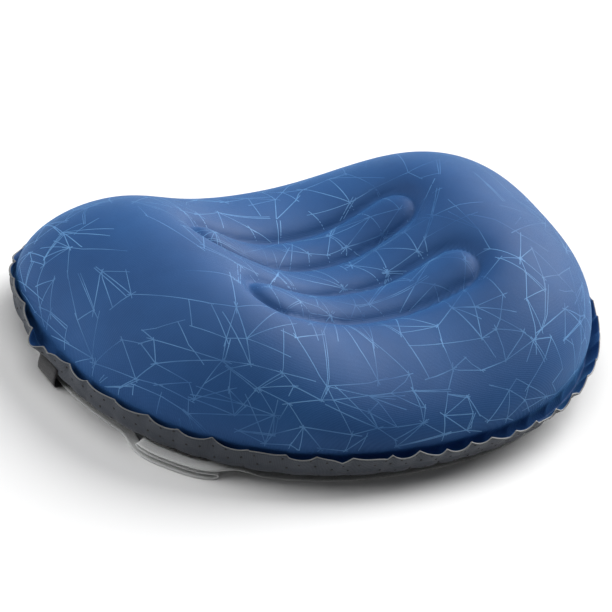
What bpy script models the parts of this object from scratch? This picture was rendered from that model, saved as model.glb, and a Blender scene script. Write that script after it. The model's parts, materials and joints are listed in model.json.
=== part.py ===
"""An inflatable camp pillow.

Two fabric skins are welded round a free margin. Two banana-shaped tie rings inside pull the top down
into a head cradle. A two-stage air valve sits in the underside, near the rear edge, and an elastic
strap runs under the front edge through two webbing loops.

Metres, +Z up, +X along the pillow, +Y to the rear. The origin is on the ground, under the middle.
"""

import math

import bmesh
import bpy
from mathutils import Matrix, Vector
from mathutils.bvhtree import BVHTree

# Outline of the inflated body at its widest
HALF_LENGTH = 0.205
HALF_DEPTH = 0.142
OUTLINE_POWER = 2.7
SWEEP = 0.0409          # how far the ends sweep to the rear
BEND = SWEEP / HALF_LENGTH ** 2
REAR_START = -0.1       # where the rear's own sizes begin to take over, front -1 and rear 1
REAR_SPAN = 0.8

# Crown of the top skin above its widest line
SIDE_HEIGHT = 0.028
CROWN = 0.0914
CROWN_POWER = 1.82

# Head cradle between the two humps
CRADLE_DEPTH = 0.066
CRADLE_HALF_LENGTH = 0.091
CRADLE_POWER = 2.5
CRADLE_REAR = 0.3894 * HALF_DEPTH      # where it is deepest
CRADLE_REACH = 0.7141 * HALF_DEPTH
CRADLE_LEAST = 0.524    # share of the depth that is left far from there

# Banana-shaped weld rings: middle, half width and half length
RINGS = {
    "rear_tie_ring": (0.3676 * HALF_DEPTH, 0.1338 * HALF_DEPTH, 0.0884),
    "front_tie_ring": (-0.2070 * HALF_DEPTH, 0.1430 * HALF_DEPTH, 0.0900),
}
RING_BEND = 0.73 * BEND
CREASE_DEPTH = 0.006
CREASE_WIDTH = 0.007

# Fabric
SKIN = 0.0008
GAP = 0.0003            # left between pieces that touch

# Weld line and free margin
WELD_OUT = 0.0015
WELD_HEIGHT_FRONT = 0.014
WELD_HEIGHT_REAR = 0.026
MARGIN = 0.013
MARGIN_SIDE = SKIN + GAP           # from the middle of the margin to the outer face of each skin
LEAN_LEAST = math.radians(45)
LEAN_MOST = math.radians(80)
LEAN_SIDES = (math.radians(-135), math.radians(15))      # where the margin stands up most
LEAN_SPREADS = (math.radians(75), math.radians(28))
LEAN_REAR = math.radians(-35)      # it droops at the rear
LEAN_REAR_START = 0.45
LEAN_REAR_SPAN = 0.35
WALL_BULGE = 0.0008
WALL_SHARE = 0.3

# Strap and webbing loops
STRAP_WIDTH = 0.012
STRAP_THICKNESS = 0.0009
STRAP_INSET = 0.008
STRAP_STEPS = 96
STRAP_START = math.radians(171)
STRAP_END = math.radians(369)
STRAP_LOOP_SHIFT = 0.0045
STRAP_LOOP_SPREAD = math.radians(9)
BIGHT_SIDE = math.radians(223.5)
BIGHT_SPREAD = math.radians(6)
BIGHT_REACH = 0.0145
LOOP_SIDE = math.radians(187.5)
LOOP_WIDTH = 0.022
LOOP_THICKNESS = 0.001
LOOP_TAIL = 0.003      # how far the loop's lower run reaches past the strap
LOOP_INNER = STRAP_INSET + STRAP_WIDTH - STRAP_LOOP_SHIFT + LOOP_TAIL
LOOP_CORNER = 0.0022
LOOP_HEM_DROP = 0.001

# Underside: curved border between the ground and the weld line, high enough in front to clear the
# strap where it lies on a loop
BORDER_POWER_FRONT = 1.6
BORDER_POWER_REAR = 1.3
BORDER_SPARE = 0.0018
STRAP_TOP = LOOP_THICKNESS + STRAP_THICKNESS + 2 * GAP
STRAP_CLEAR = (1 - (1 - STRAP_TOP / (WELD_HEIGHT_FRONT - SKIN - GAP)) ** 2) ** (1 / BORDER_POWER_FRONT)
BORDER_FRONT = (STRAP_INSET + STRAP_WIDTH - STRAP_LOOP_SHIFT) / (1 - STRAP_CLEAR) + BORDER_SPARE
BORDER_REAR = 0.4577 * HALF_DEPTH
BORDER_STEPS = (0.0, 0.3, 0.55, 0.75, 0.9, 1.0)

# Tie rings
TIE_RIM = 0.0045
TIE_STEPS = 60
TIE_STRAIGHT = 0.625   # share of the steps' run that goes along the straight sides
TIE_SLACK = 0.0017     # lets the rim follow the creased fabric without touching it
VENT_RADIUS = 0.005
VENT_SPACING = 0.042
VENT_HEIGHT = 0.020

# Valve, measured outwards from the skin's outer face
VALVE_X = 0.4634 * HALF_LENGTH
VALVE_INSET = 0.024
BASE_RIM = 0.0058       # beyond the collar
BASE_THICKNESS = 0.001
BORE_RADIUS = 0.0085
COLLAR_WALL = 0.0017
COLLAR_PROUD = 0.0004
COLLAR_DEPTH = 0.0045
PLUG_CLEARANCE = 0.0004
PLUG_DEPTH = 0.0025
LIP_RIM = 0.002         # beyond the collar
LIP_THICKNESS = 0.0012
PORT_RADIUS = 0.003
SEAL_WIDTH = 0.0013
SEAL_THICKNESS = 0.0004
FLAP_THICKNESS = 0.0006
CAGE_RIM = 0.0028       # beyond the port
CAGE_WALL = 0.0013
CAGE_DEPTH = 0.0045
CAGE_FLOOR = 0.0008
CAGE_HOLE = 0.002
CAP_RIM = 0.005         # beyond the port
CAP_THICKNESS = 0.0012
STUB_CLEARANCE = 0.0004
STUB_DEPTH = 0.0017
TETHER_WIDTH = 0.005
TETHER_THICKNESS = 0.0008
RING_WALL = 0.002
ANCHOR_THICKNESS = 0.0012
ANCHOR_CLEARANCE = 0.001
ANCHOR_STEP = 0.0001
ANCHOR_FOOT = 0.0005
PLUG_TETHER = 0.0035
CAP_TETHER = 0.0022
TETHER_END_STEPS = 8
FLAT_SPARE = 0.0015
FLAT_BLEND = 0.013
FLAT_FADE = 0.1

COLLAR_RADIUS = BORE_RADIUS + COLLAR_WALL
BASE_RADIUS = COLLAR_RADIUS + BASE_RIM
LIP_RADIUS = COLLAR_RADIUS + LIP_RIM
CAGE_RADIUS = PORT_RADIUS + CAGE_RIM
CAP_RADIUS = PORT_RADIUS + CAP_RIM
PLUG_HINGE_REACH = LIP_RADIUS + GAP + PLUG_TETHER
CAP_HINGE_REACH = CAP_RADIUS + GAP + CAP_TETHER
FLAT_RADIUS = PLUG_HINGE_REACH + ANCHOR_CLEARANCE + ANCHOR_THICKNESS + FLAT_SPARE

# Fineness of the meshes
COLUMNS = 22
ROWS = 30
TURNS = 24

BLUE = (0.055, 0.130, 0.310)
GREY = (0.060, 0.066, 0.078)
FILM = (0.62, 0.64, 0.66)
DARK = (0.020, 0.022, 0.026)
PLASTIC = (0.045, 0.048, 0.055)
SILICONE = (0.55, 0.57, 0.60)
PALE = (0.42, 0.43, 0.44)


# ---------------------------------------------------------------- general helpers

def smooth_step(value):
    """0 below 0, 1 above 1, and a smooth rise between."""
    value = min(max(value, 0.0), 1.0)
    return value * value * (3 - 2 * value)


def mix(first, second, share):
    return first + (second - first) * share


def make_material(name, colour, roughness):
    material = bpy.data.materials.new(name)
    material.use_nodes = True
    shader = material.node_tree.nodes["Principled BSDF"]
    shader.inputs["Base Color"].default_value = (*colour, 1)
    shader.inputs["Roughness"].default_value = roughness
    shader.inputs["Metallic"].default_value = 0
    return material


def add_object(name, bm, colour, roughness, collection):
    """Turn a bmesh into a smooth-shaded object with its own material."""
    mesh = bpy.data.meshes.new(name)
    bm.to_mesh(mesh)
    bm.free()
    mesh.shade_smooth()
    mesh.set_sharp_from_angle(angle=math.radians(40))
    obj = bpy.data.objects.new(name, mesh)
    if colour is not None:
        obj.data.materials.append(make_material(name, colour, roughness))
    collection.objects.link(obj)
    return obj


def add_cutter(name, bm, collection):
    cutter = add_object(name, bm, None, None, collection)
    cutter.hide_render = True
    cutter.display_type = "WIRE"
    return cutter


def thicken(obj, thickness, offset):
    """Give an open surface a wall; offset -1 keeps it behind the surface."""
    wall = obj.modifiers.new("wall", "SOLIDIFY")
    wall.thickness = thickness
    wall.offset = offset


def combine(obj, tool, operation):
    """Cut a tool out of an object, or join it on."""
    step = obj.modifiers.new(operation.lower(), "BOOLEAN")
    step.operation = operation
    step.solver = "EXACT"
    step.object = tool


def evaluated_tree(obj):
    """The finished surface of an object, for finding where it is."""
    bpy.context.view_layer.update()
    graph = bpy.context.evaluated_depsgraph_get()
    return BVHTree.FromObject(obj, graph)


def extrude_rings(bm, count):
    """Grow rings outwards from the boundary of a unit sheet, one unit apart."""
    for ring in range(1, count + 1):
        border = [edge for edge in bm.edges if edge.is_boundary]
        grown = bmesh.ops.extrude_edge_only(bm, edges=border)["geom"]
        for vert in grown:
            if isinstance(vert, bmesh.types.BMVert):
                vert.co *= (ring + 1) / ring


# ---------------------------------------------------------------- the pillow's form

def on_outline(u, v):
    """Point of the unit outline in the direction (u, v)."""
    size = (abs(u) ** OUTLINE_POWER + abs(v) ** OUTLINE_POWER) ** (1 / OUTLINE_POWER)
    return u / size, v / size


def bent(x, v):
    return x, v + BEND * x * x


def outward(c, s):
    """Unit normal of the outline, before the bend."""
    nx = math.copysign(abs(c) ** (OUTLINE_POWER - 1), c) / HALF_LENGTH
    nv = math.copysign(abs(s) ** (OUTLINE_POWER - 1), s) / HALF_DEPTH
    size = math.hypot(nx, nv)
    return nx / size, nv / size


def lean_of(c, s):
    """How steeply the free margin stands on this side."""
    share = 0.0
    for side, spread in zip(LEAN_SIDES, LEAN_SPREADS):
        turn = (math.atan2(s, c) - side + math.pi) % (2 * math.pi) - math.pi
        share = max(share, math.exp(-((turn / spread) ** 2)))
    standing = mix(LEAN_LEAST, LEAN_MOST, share)
    return mix(standing, LEAN_REAR, smooth_step((s - LEAN_REAR_START) / LEAN_REAR_SPAN))


def rear_share(s):
    """0 along the front and 1 along the rear."""
    return smooth_step((s - REAR_START) / REAR_SPAN)


def weld_height(s):
    return mix(WELD_HEIGHT_FRONT, WELD_HEIGHT_REAR, rear_share(s))


def beside_outline(c, s, out):
    """Plan position at a distance outside the outline, on the uncentred pillow."""
    nx, nv = outward(c, s)
    return bent(c * HALF_LENGTH + out * nx, s * HALF_DEPTH + out * nv)


def margin_point(c, s, along, side):
    """A point of the free margin: along its width, and to the upper (+) or lower (-) side of it."""
    lean = lean_of(c, s)
    out = WELD_OUT + along * math.cos(lean) - side * math.sin(lean)
    return out, weld_height(s) + along * math.sin(lean) + side * math.cos(lean)


def find_middle():
    """Middle of the whole pillow in plan, margin included."""
    xs = []
    ys = []
    for step in range(720):
        turn = math.radians(step / 2)
        c, s = on_outline(math.cos(turn), math.sin(turn))
        out, _ = margin_point(c, s, MARGIN, -MARGIN_SIDE)
        x, y = beside_outline(c, s, out)
        xs.append(x)
        ys.append(y)
    return (min(xs) + max(xs)) / 2, (min(ys) + max(ys)) / 2


MIDDLE = find_middle()


def placed(x, y, z):
    return Vector((x - MIDDLE[0], y - MIDDLE[1], z))


def near_outline(c, s, out, z):
    return placed(*beside_outline(c, s, out), z)


def crease(x, v):
    """How deep the banana-shaped welds pull the top at a point."""
    depth = 0.0
    for middle, half_width, half_length in RINGS.values():
        past_end = max(abs(x) - (half_length - half_width), 0.0)
        across = v - middle - (RING_BEND - BEND) * x * x
        distance = math.hypot(past_end, across) - half_width
        depth = max(depth, CREASE_DEPTH * math.exp(-((distance / CREASE_WIDTH) ** 2)))
    return depth


def top_height(x, v, reach):
    """Height of the top skin; reach is 0 in the middle and 1 at the widest line."""
    dome = math.sqrt(max(1 - reach ** CROWN_POWER, 0.0))
    behind = math.exp(-(((v - CRADLE_REAR) / CRADLE_REACH) ** 2))
    share = mix(CRADLE_LEAST, 1.0, behind)
    cradle = CRADLE_DEPTH * share * math.exp(-((abs(x) / CRADLE_HALF_LENGTH) ** CRADLE_POWER))
    return SIDE_HEIGHT + dome * (CROWN - cradle - crease(x, v))


def top_point(u, v):
    """Map the unit sheet and its rings to the top skin's outer face."""
    reach = max(abs(u), abs(v))
    if reach < 1e-6:
        return placed(0.0, 0.0, top_height(0.0, 0.0, 0.0))
    c, s = on_outline(u, v)
    if reach <= 1:
        x = c * HALF_LENGTH * reach
        depth = s * HALF_DEPTH * reach
        return placed(*bent(x, depth), top_height(x, depth, reach))
    weld = margin_point(c, s, 0.0, MARGIN_SIDE)
    wall = (weld[0] * WALL_SHARE - WALL_BULGE, (SIDE_HEIGHT + weld[1]) / 2)
    stations = (wall, weld, margin_point(c, s, MARGIN / 2, MARGIN_SIDE),
                margin_point(c, s, MARGIN, MARGIN_SIDE))
    out, z = stations[round(reach) - 2]
    return near_outline(c, s, out, z)


def border_width(s):
    return mix(BORDER_FRONT, BORDER_REAR, rear_share(s))


def border_share(s, inset):
    return 1 - inset / border_width(s)


def border_profile(c, s, share):
    """Underside between the ground, share 0, and the weld line, share 1."""
    power = mix(BORDER_POWER_FRONT, BORDER_POWER_REAR, rear_share(s))
    out, z = margin_point(c, s, 0.0, -MARGIN_SIDE)
    return mix(-border_width(s), out, share), z * (1 - math.sqrt(max(1 - share ** power, 0.0)))


def valve_frame():
    """Centre of the valve on the underside, its outward normal and the way to the pillow's edge."""
    x = VALVE_X / HALF_LENGTH
    c, s = on_outline(x, (1 - x ** OUTLINE_POWER) ** (1 / OUTLINE_POWER))
    middle = border_share(s, VALVE_INSET)
    step = 0.05
    inner = near_outline(c, s, *border_profile(c, s, middle - step))
    centre = near_outline(c, s, *border_profile(c, s, middle))
    outer = near_outline(c, s, *border_profile(c, s, middle + step))
    beside = near_outline(*on_outline(c + step, s), *border_profile(*on_outline(c + step, s), middle))
    towards_edge = (outer - inner).normalized()
    normal = towards_edge.cross(beside - centre).normalized()
    if normal.z > 0:
        normal.negate()
    towards_edge = (towards_edge - normal * towards_edge.dot(normal)).normalized()
    return centre, normal, towards_edge


VALVE_CENTRE, VALVE_NORMAL, VALVE_EDGEWARD = valve_frame()


def flattened(point, share):
    """Flatten the underside round the valve, where its stiff base holds the fabric."""
    from_centre = point - VALVE_CENTRE
    height = from_centre.dot(VALVE_NORMAL)
    distance = (from_centre - VALVE_NORMAL * height).length
    hold = 1 - smooth_step((distance - FLAT_RADIUS) / FLAT_BLEND)
    hold *= 1 - smooth_step((share - 1 + FLAT_FADE) / FLAT_FADE)
    return point - VALVE_NORMAL * height * hold


def bottom_point(u, v):
    """Map the unit sheet and its rings to the bottom skin's outer face."""
    reach = max(abs(u), abs(v))
    if reach < 1e-6:
        return placed(0.0, 0.0, 0.0)
    c, s = on_outline(u, v)
    if reach <= 1:
        edge = near_outline(c, s, -border_width(s), 0.0)
        return flattened(placed(0.0, 0.0, 0.0).lerp(edge, reach), 0.0)
    last = len(BORDER_STEPS)
    if reach > last + 0.001:
        out, z = margin_point(c, s, MARGIN * (reach - last) / 2, -MARGIN_SIDE)
        return near_outline(c, s, out, z)
    step = min(int(reach) - 1, last - 2)
    share = mix(BORDER_STEPS[step], BORDER_STEPS[step + 1], reach - 1 - step)
    return flattened(near_outline(c, s, *border_profile(c, s, share)), share)


# ---------------------------------------------------------------- skins

def unit_sheet(rings):
    bm = bmesh.new()
    bmesh.ops.create_grid(bm, x_segments=COLUMNS, y_segments=ROWS, size=1)
    extrude_rings(bm, rings)
    return bm


def turn_faces(bm, up):
    """Turn all faces of an open sheet the same way, so that its flattest one looks up or down."""
    bmesh.ops.recalc_face_normals(bm, faces=bm.faces)
    flattest = max(bm.faces, key=lambda face: abs(face.normal.z) * face.calc_area())
    if (flattest.normal.z > 0) != up:
        bmesh.ops.reverse_faces(bm, faces=bm.faces)


def build_top_skin(parts):
    bm = unit_sheet(4)
    for vert in bm.verts:
        vert.co = top_point(vert.co.x, vert.co.y)
    turn_faces(bm, up=True)
    skin = add_object("top_skin", bm, BLUE, 0.6, parts)
    thicken(skin, SKIN, -1)
    return skin


def build_bottom_skin(parts, cutters):
    bm = unit_sheet(len(BORDER_STEPS) + 1)
    finer = [edge for edge in bm.edges if near_valve(edge)]
    bmesh.ops.subdivide_edges(bm, edges=finer, cuts=2, use_grid_fill=True)
    inner = [vert for vert in bm.verts if max(abs(vert.co.x), abs(vert.co.y)) < 0.999]
    for vert in bm.verts:
        vert.co = bottom_point(vert.co.x, vert.co.y)
    on_ground = [vert for vert in inner if vert.co.z < 1e-7]
    bmesh.ops.dissolve_verts(bm, verts=[vert for vert in on_ground if all_on_ground(vert)])
    turn_faces(bm, up=False)
    skin = add_object("bottom_skin", bm, GREY, 0.7, parts)
    thicken(skin, SKIN, -1)
    hole = bmesh.new()
    bmesh.ops.create_cone(hole, cap_ends=True, segments=TURNS, depth=8 * SKIN,
                          radius1=COLLAR_RADIUS + GAP, radius2=COLLAR_RADIUS + GAP)
    cutter = add_cutter("valve_hole", hole, cutters)
    cutter.matrix_world = valve_matrix()
    combine(skin, cutter, "DIFFERENCE")
    return skin


def near_valve(edge):
    """Whether an edge of the unit sheet ends near the valve."""
    reach = FLAT_RADIUS + FLAT_BLEND / 2
    for vert in edge.verts:
        if (bottom_point(vert.co.x, vert.co.y) - VALVE_CENTRE).length > reach:
            return False
    return True


def all_on_ground(vert):
    for face in vert.link_faces:
        for other in face.verts:
            if other.co.z > 1e-7:
                return False
    return True


# ---------------------------------------------------------------- tie rings

def ring_point(middle, half_width, half_length, turn, out):
    """Plan position on a banana ring, moved outwards from its wall."""
    straight = half_length - half_width
    run = abs(math.cos(turn))
    x = math.copysign(straight * min(1.0, run / TIE_STRAIGHT), math.cos(turn))
    bow = math.radians(90) * max(run - TIE_STRAIGHT, 0.0) / (1 - TIE_STRAIGHT)
    radius = half_width + out
    x += math.copysign(radius * math.sin(bow), math.cos(turn))
    across = math.copysign(radius * math.cos(bow), math.sin(turn))
    v = middle + across + (RING_BEND - BEND) * x * x
    return bent(x, v)


def build_tie_ring(name, top_tree, parts, cutters):
    middle, half_width, half_length = RINGS[name]
    bm = bmesh.new()
    bmesh.ops.create_circle(bm, segments=TIE_STEPS, radius=1)
    for vert in bm.verts:
        vert.co.z = 0
    row = list(bm.edges)
    for level in range(1, 4):
        grown = bmesh.ops.extrude_edge_only(bm, edges=row)["geom"]
        row = [edge for edge in grown if isinstance(edge, bmesh.types.BMEdge)]
        fresh = {vert for vert in grown if isinstance(vert, bmesh.types.BMVert)}
        row = [edge for edge in row if edge.verts[0] in fresh and edge.verts[1] in fresh]
        for vert in fresh:
            vert.co.z = level
    low = SKIN + GAP + SKIN / 2
    for vert in bm.verts:
        turn = math.atan2(vert.co.y, vert.co.x)
        level = round(vert.co.z)
        out = TIE_RIM if level in (0, 3) else 0.0
        spot = placed(*ring_point(middle, half_width, half_length, turn, out), 0.0)
        ceiling = inner_height(top_tree, spot)
        vert.co = spot
        vert.co.z = low if level < 2 else ceiling - SKIN / 2 - GAP - TIE_SLACK
    bmesh.ops.recalc_face_normals(bm, faces=bm.faces)
    ring = add_object(name, bm, FILM, 0.5, parts)
    thicken(ring, SKIN, 0)
    holes = bmesh.new()
    for number in (-1, 0, 1):
        x = number * VENT_SPACING
        spot = placed(*bent(x, middle + (RING_BEND - BEND) * x * x), VENT_HEIGHT)
        lay = Matrix.Translation(spot) @ Matrix.Rotation(math.radians(90), 4, "X")
        bmesh.ops.create_cone(holes, cap_ends=True, segments=10, radius1=VENT_RADIUS,
                              radius2=VENT_RADIUS, depth=2.6 * half_width, matrix=lay)
    combine(ring, add_cutter(name + "_vents", holes, cutters), "DIFFERENCE")
    return ring


def inner_height(tree, spot):
    """Lowest height of the top skin above a point, its inner face."""
    hit = tree.ray_cast(Vector((spot.x, spot.y, 0.002)), Vector((0, 0, 1)))[0]
    return hit.z


# ---------------------------------------------------------------- valve

def valve_matrix():
    """Valve frame: X towards the pillow's edge, Z out of the fabric."""
    across = VALVE_NORMAL.cross(VALVE_EDGEWARD)
    turn = Matrix((VALVE_EDGEWARD, across, VALVE_NORMAL)).transposed().to_4x4()
    return Matrix.Translation(VALVE_CENTRE) @ turn


def turned(name, profile, colour, roughness, parts):
    """A turned piece from (radius, height) points that run down its outer side and back up."""
    bm = bmesh.new()
    verts = [bm.verts.new((radius, 0, height)) for radius, height in profile]
    closed = profile[-1][0] > 0
    for first, second in zip(verts, verts[1:] + (verts[:1] if closed else [])):
        bm.edges.new((first, second))
    piece = add_object(name, bm, colour, roughness, parts)
    turn = piece.modifiers.new("turn", "SCREW")
    turn.steps = TURNS
    turn.render_steps = TURNS
    turn.use_merge_vertices = True
    turn.merge_threshold = 0.00001
    return piece


def build_tether(name, start, end, height, parts):
    """A flat strap from the edge of a lid to its hinge axis, with a round end on the axis."""
    half = TETHER_THICKNESS / 2
    outline = [(start, half), (start, -half)]
    for step in range(TETHER_END_STEPS + 1):
        turn = math.pi * (step / TETHER_END_STEPS - 0.5)
        outline.append((end + math.copysign(half * math.cos(turn), end - start), half * math.sin(turn)))
    bm = bmesh.new()
    side = bm.faces.new([bm.verts.new((x, -TETHER_WIDTH / 2, height + z)) for x, z in outline])
    for vert in bmesh.ops.extrude_face_region(bm, geom=[side])["geom"]:
        if isinstance(vert, bmesh.types.BMVert):
            vert.co.y += TETHER_WIDTH
    bmesh.ops.recalc_face_normals(bm, faces=bm.faces)
    return add_object(name, bm, PLASTIC, 0.5, parts)


def add_anchor(piece, ends, levels, cutters):
    """Join a block that a tether folds against onto a turned piece, between two X ends and two heights."""
    bm = bmesh.new()
    centre = Matrix.Translation((sum(ends) / 2, 0, sum(levels) / 2))
    size = Matrix.Diagonal((abs(ends[1] - ends[0]), TETHER_WIDTH, abs(levels[1] - levels[0]), 1))
    bmesh.ops.create_cube(bm, size=1, matrix=centre @ size)
    tool = add_cutter(piece.name + "_anchor", bm, cutters)
    tool.matrix_world = valve_matrix()
    combine(piece, tool, "UNION")


def hinge_empty(name, reach, height, parts):
    """Empty on a hinge axis, for the pieces that turn with it."""
    empty = bpy.data.objects.new(name, None)
    empty.empty_display_size = 0.005
    parts.objects.link(empty)
    empty.matrix_world = valve_matrix() @ Matrix.Translation((reach, 0, height))
    return empty


def ring_profile(inner, outer, low, high):
    return [(inner, high), (outer, high), (outer, low), (inner, low)]


def build_valve(parts, cutters):
    place = valve_matrix()
    base_top = -SKIN - GAP
    base = turned("valve_base", [
        (BORE_RADIUS, COLLAR_PROUD),
        (COLLAR_RADIUS, COLLAR_PROUD),
        (COLLAR_RADIUS, base_top),
        (BASE_RADIUS, base_top),
        (BASE_RADIUS, base_top - BASE_THICKNESS),
        (COLLAR_RADIUS, base_top - BASE_THICKNESS),
        (COLLAR_RADIUS, -COLLAR_DEPTH),
        (BORE_RADIUS, -COLLAR_DEPTH),
    ], FILM, 0.4, parts)

    seal_low = COLLAR_PROUD + GAP
    lip_low = seal_low + SEAL_THICKNESS + GAP
    lip_high = lip_low + LIP_THICKNESS
    seal_inner = BORE_RADIUS + (COLLAR_WALL - SEAL_WIDTH) / 2
    seal = turned("plug_seal", ring_profile(seal_inner, seal_inner + SEAL_WIDTH, seal_low,
                                            seal_low + SEAL_THICKNESS), SILICONE, 0.4, parts)
    plug_radius = BORE_RADIUS - PLUG_CLEARANCE
    plug = turned("deflate_plug", [
        (PORT_RADIUS, lip_high),
        (LIP_RADIUS, lip_high),
        (LIP_RADIUS, lip_low),
        (plug_radius, lip_low),
        (plug_radius, -PLUG_DEPTH),
        (PORT_RADIUS, -PLUG_DEPTH),
    ], PLASTIC, 0.45, parts)

    seat = -PLUG_DEPTH - GAP
    cage_inner = CAGE_RADIUS - CAGE_WALL
    cage = turned("flap_cage", [
        (cage_inner, seat),
        (CAGE_RADIUS, seat),
        (CAGE_RADIUS, seat - CAGE_DEPTH),
        (CAGE_HOLE, seat - CAGE_DEPTH),
        (CAGE_HOLE, seat - CAGE_DEPTH + CAGE_FLOOR),
        (cage_inner, seat - CAGE_DEPTH + CAGE_FLOOR),
    ], PLASTIC, 0.45, parts)
    flap = turned("check_flap", [
        (0, seat),
        (cage_inner - GAP, seat),
        (cage_inner - GAP, seat - FLAP_THICKNESS),
        (0, seat - FLAP_THICKNESS),
    ], SILICONE, 0.35, parts)

    cap_low = lip_high + GAP
    stub = PORT_RADIUS - STUB_CLEARANCE
    cap = turned("inflate_cap", [
        (0, cap_low + CAP_THICKNESS),
        (CAP_RADIUS, cap_low + CAP_THICKNESS),
        (CAP_RADIUS, cap_low),
        (stub, cap_low),
        (stub, cap_low - STUB_DEPTH),
        (0, cap_low - STUB_DEPTH),
    ], PLASTIC, 0.45, parts)

    lip_middle = (lip_low + lip_high) / 2
    cap_middle = cap_low + CAP_THICKNESS / 2
    plug_tether = build_tether("plug_tether", LIP_RADIUS + GAP, PLUG_HINGE_REACH, lip_middle, parts)
    cap_tether = build_tether("cap_tether", -CAP_RADIUS - GAP, -CAP_HINGE_REACH, cap_middle, parts)

    ring_inner = COLLAR_RADIUS + GAP
    ring_high = lip_low - GAP
    ring = turned("tether_ring", ring_profile(ring_inner, ring_inner + RING_WALL, GAP, ring_high),
                  PLASTIC, 0.45, parts)
    plug_stop = PLUG_HINGE_REACH + ANCHOR_CLEARANCE
    arm = (ring_inner + RING_WALL / 2, plug_stop + ANCHOR_THICKNESS)
    post = (plug_stop, plug_stop + ANCHOR_THICKNESS)
    add_anchor(ring, arm, (GAP + ANCHOR_STEP, ring_high - ANCHOR_STEP), cutters)
    add_anchor(ring, post, (ring_high / 2, lip_high), cutters)
    cap_stop = -CAP_HINGE_REACH - ANCHOR_CLEARANCE
    knuckle = (cap_stop - ANCHOR_THICKNESS, cap_stop)
    foot = (cap_stop - ANCHOR_THICKNESS, ANCHOR_FOOT - LIP_RADIUS)
    add_anchor(plug, foot, (lip_low + ANCHOR_STEP, lip_high - ANCHOR_STEP), cutters)
    add_anchor(plug, knuckle, (lip_middle, cap_low + CAP_THICKNESS), cutters)

    plug_hinge = hinge_empty("plug_hinge", PLUG_HINGE_REACH, lip_middle, parts)
    cap_hinge = hinge_empty("cap_hinge", -CAP_HINGE_REACH, cap_middle, parts)
    for piece in (base, seal, ring):
        piece.matrix_world = place
    for piece in (plug, cage, flap, plug_tether):
        hang(piece, plug_hinge, place)
    for piece in (cap, cap_tether):
        hang(piece, cap_hinge, place)
    hang(cap_hinge, plug_hinge, cap_hinge.matrix_world.copy())


def hang(piece, parent, place):
    """Parent a piece without moving it."""
    bpy.context.view_layer.update()
    piece.parent = parent
    piece.matrix_parent_inverse = parent.matrix_world.inverted()
    piece.matrix_world = place


# ---------------------------------------------------------------- strap and loops

def bell(turn, centre, spread):
    return math.exp(-(((turn - centre) / spread) ** 2))


def at_loops(turn):
    other = 3 * math.pi - LOOP_SIDE
    return max(bell(turn, LOOP_SIDE, STRAP_LOOP_SPREAD), bell(turn, other, STRAP_LOOP_SPREAD))


def strap_point(turn, across):
    """Underside of the strap: it lies on the ground and rises over each loop's lower run."""
    c, s = on_outline(math.cos(turn), math.sin(turn))
    rise = smooth_step(at_loops(turn) * 2.2)
    out = -STRAP_INSET - STRAP_WIDTH / 2 + across * STRAP_WIDTH / 2
    out += STRAP_LOOP_SHIFT * rise + BIGHT_REACH * bell(turn, BIGHT_SIDE, BIGHT_SPREAD)
    return near_outline(c, s, out, rise * (LOOP_THICKNESS + GAP))


def build_strap(parts):
    bm = bmesh.new()
    bmesh.ops.create_grid(bm, x_segments=STRAP_STEPS, y_segments=1, size=1)
    for vert in bm.verts:
        turn = mix(STRAP_START, STRAP_END, (vert.co.x + 1) / 2)
        vert.co = strap_point(turn, vert.co.y)
    turn_faces(bm, up=True)
    strap = add_object("elastic_strap", bm, PALE, 0.8, parts)
    thicken(strap, STRAP_THICKNESS, 1)


def loop_profile(c, s):
    """Middle line of the webbing, from the hem under the margin, down, and in under the strap."""
    skin_out, hem = margin_point(c, s, 0.0, -MARGIN_SIDE)
    half = LOOP_THICKNESS / 2
    leg = skin_out + GAP + half
    corner = LOOP_CORNER
    line = [(leg, hem - LOOP_HEM_DROP), (leg, hem * 0.6), (leg, half + corner)]
    for step in range(1, 4):
        turn = math.radians(30 * step)
        line.append((leg - corner + corner * math.cos(turn), half + corner - corner * math.sin(turn)))
    line.append((leg - LOOP_INNER / 2, half))
    line.append((leg - LOOP_INNER - corner, half))
    return line


def build_loop(name, side, parts):
    c, s = on_outline(math.cos(side), math.sin(side))
    line = loop_profile(c, s)
    bm = bmesh.new()
    bmesh.ops.create_grid(bm, x_segments=len(line) - 1, y_segments=2, size=1)
    centre = near_outline(c, s, 0.0, 0.0)
    ahead = near_outline(*on_outline(math.cos(side + 0.01), math.sin(side + 0.01)), 0.0, 0.0)
    along = (ahead - centre).normalized()
    out_way = Vector((along.y, -along.x, 0))
    for vert in bm.verts:
        out, z = line[round((vert.co.x + 1) / 2 * (len(line) - 1))]
        vert.co = centre + along * vert.co.y * LOOP_WIDTH / 2 + out_way * out + Vector((0, 0, z))
    bmesh.ops.recalc_face_normals(bm, faces=bm.faces)
    loop = add_object(name, bm, DARK, 0.8, parts)
    thicken(loop, LOOP_THICKNESS, 0)


# ---------------------------------------------------------------- assembly

def build():
    for obj in list(bpy.data.objects):
        bpy.data.objects.remove(obj, do_unlink=True)
    parts = bpy.data.collections.new("camp_pillow")
    cutters = bpy.data.collections.new("cutters")
    bpy.context.scene.collection.children.link(parts)
    bpy.context.scene.collection.children.link(cutters)

    top = build_top_skin(parts)
    build_bottom_skin(parts, cutters)
    top_tree = evaluated_tree(top)
    for name in RINGS:
        build_tie_ring(name, top_tree, parts, cutters)
    build_valve(parts, cutters)
    build_strap(parts)
    build_loop("left_loop", LOOP_SIDE, parts)
    build_loop("right_loop", 3 * math.pi - LOOP_SIDE, parts)


build()
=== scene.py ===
import json
import math
import random

import bmesh
import bpy
from mathutils import Matrix, Vector
from mathutils.bvhtree import BVHTree
from mathutils.geometry import delaunay_2d_cdt


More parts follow.
